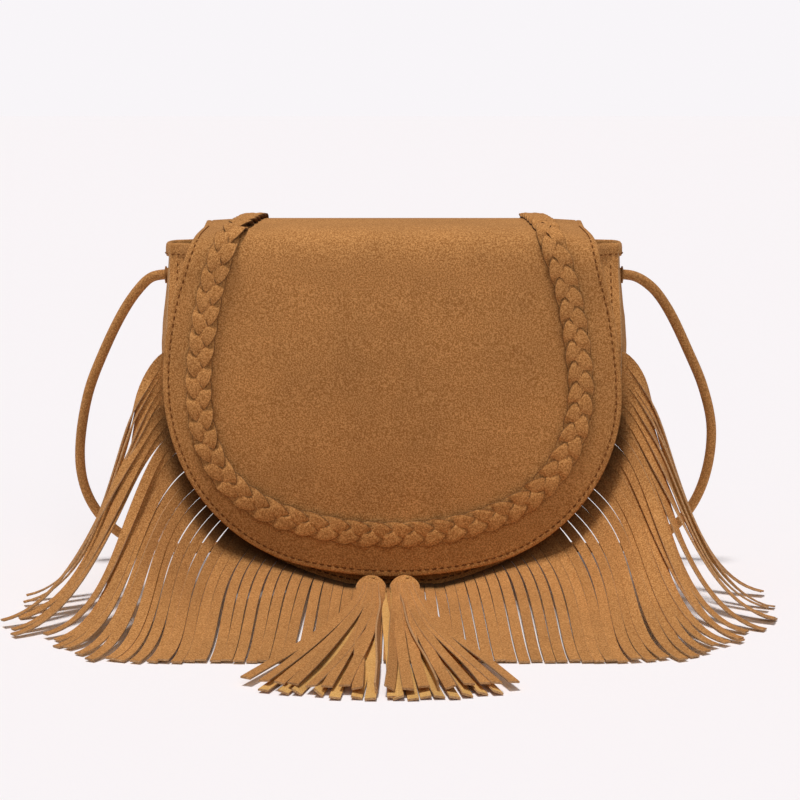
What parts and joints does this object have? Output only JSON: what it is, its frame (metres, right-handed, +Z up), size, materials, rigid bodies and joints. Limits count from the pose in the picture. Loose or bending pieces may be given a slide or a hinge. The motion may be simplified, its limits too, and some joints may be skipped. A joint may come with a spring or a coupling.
{
  "type": "fringed suede shoulder bag",
  "caption": "U-shaped suede shoulder bag with a lift-up saddle flap, plaited trim, cut fringe round its seam, paired tassels and a round cord strap.",
  "frame": {"origin": "the middle of the flat base of the bag, on the surface it stands on", "axes": "+Z up, the flap faces -Y, +X to the right as seen from the front, along the bag's width"},
  "size_m": [0.3884, 0.3797, 0.1975],
  "materials": {
    "suede": "golden tan faux suede with a short mottled nap, matt",
    "suede_reverse": "lighter ochre reverse of the same faux suede, matt",
    "lining_cloth": "dark brown plain woven lining",
    "snap_metal": "antique brass, satin",
    "thread": "tan sewing thread"
  },
  "bodies": {
    "bag": {"front_panel": "suede", "back_panel": "suede", "gusset": "suede", "lining": "lining_cloth", "fringe": "suede", "flap_back_strip": "suede", "snap_socket": "snap_metal", "snap_socket_washer": "snap_metal", "strap_eyelet_left": "suede", "strap_eyelet_right": "suede", "strap_knot_left": "suede", "strap_knot_right": "suede", "strap_left": "suede", "strap_right": "suede", "strap_coil": "suede"},
    "flap": {"flap_outer": "suede", "flap_lining": "suede_reverse", "braid": "suede", "snap_stud": "snap_metal", "snap_stud_washer": "snap_metal", "tassel_thong_left": "suede", "tassel_thong_right": "suede"},
    "tassel_left": {"tassel_left": "suede"},
    "tassel_right": {"tassel_right": "suede"}
  },
  "joints": [
    {"name": "flap_lift", "type": "hinge", "parent": "bag", "child": "flap", "pos_m": [0, 0.0368, 0.1885], "axis": [-1, 0, 0], "range_deg": [0, 105]},
    {"name": "tassel_left_swing", "type": "hinge", "parent": "flap", "child": "tassel_left", "pos_m": [-0.0086, -0.0502, 0.0056], "axis": [-1, 0, 0], "range_deg": [-183.75, 0]},
    {"name": "tassel_right_swing", "type": "hinge", "parent": "flap", "child": "tassel_right", "pos_m": [0.0086, -0.0502, 0.0056], "axis": [-1, 0, 0], "range_deg": [-183.75, 0]}
  ],
  "couplings": [
    {"joint": "tassel_left_swing", "follows": "flap_lift", "ratio": -1.75},
    {"joint": "tassel_right_swing", "follows": "flap_lift", "ratio": -1.75}
  ]
}
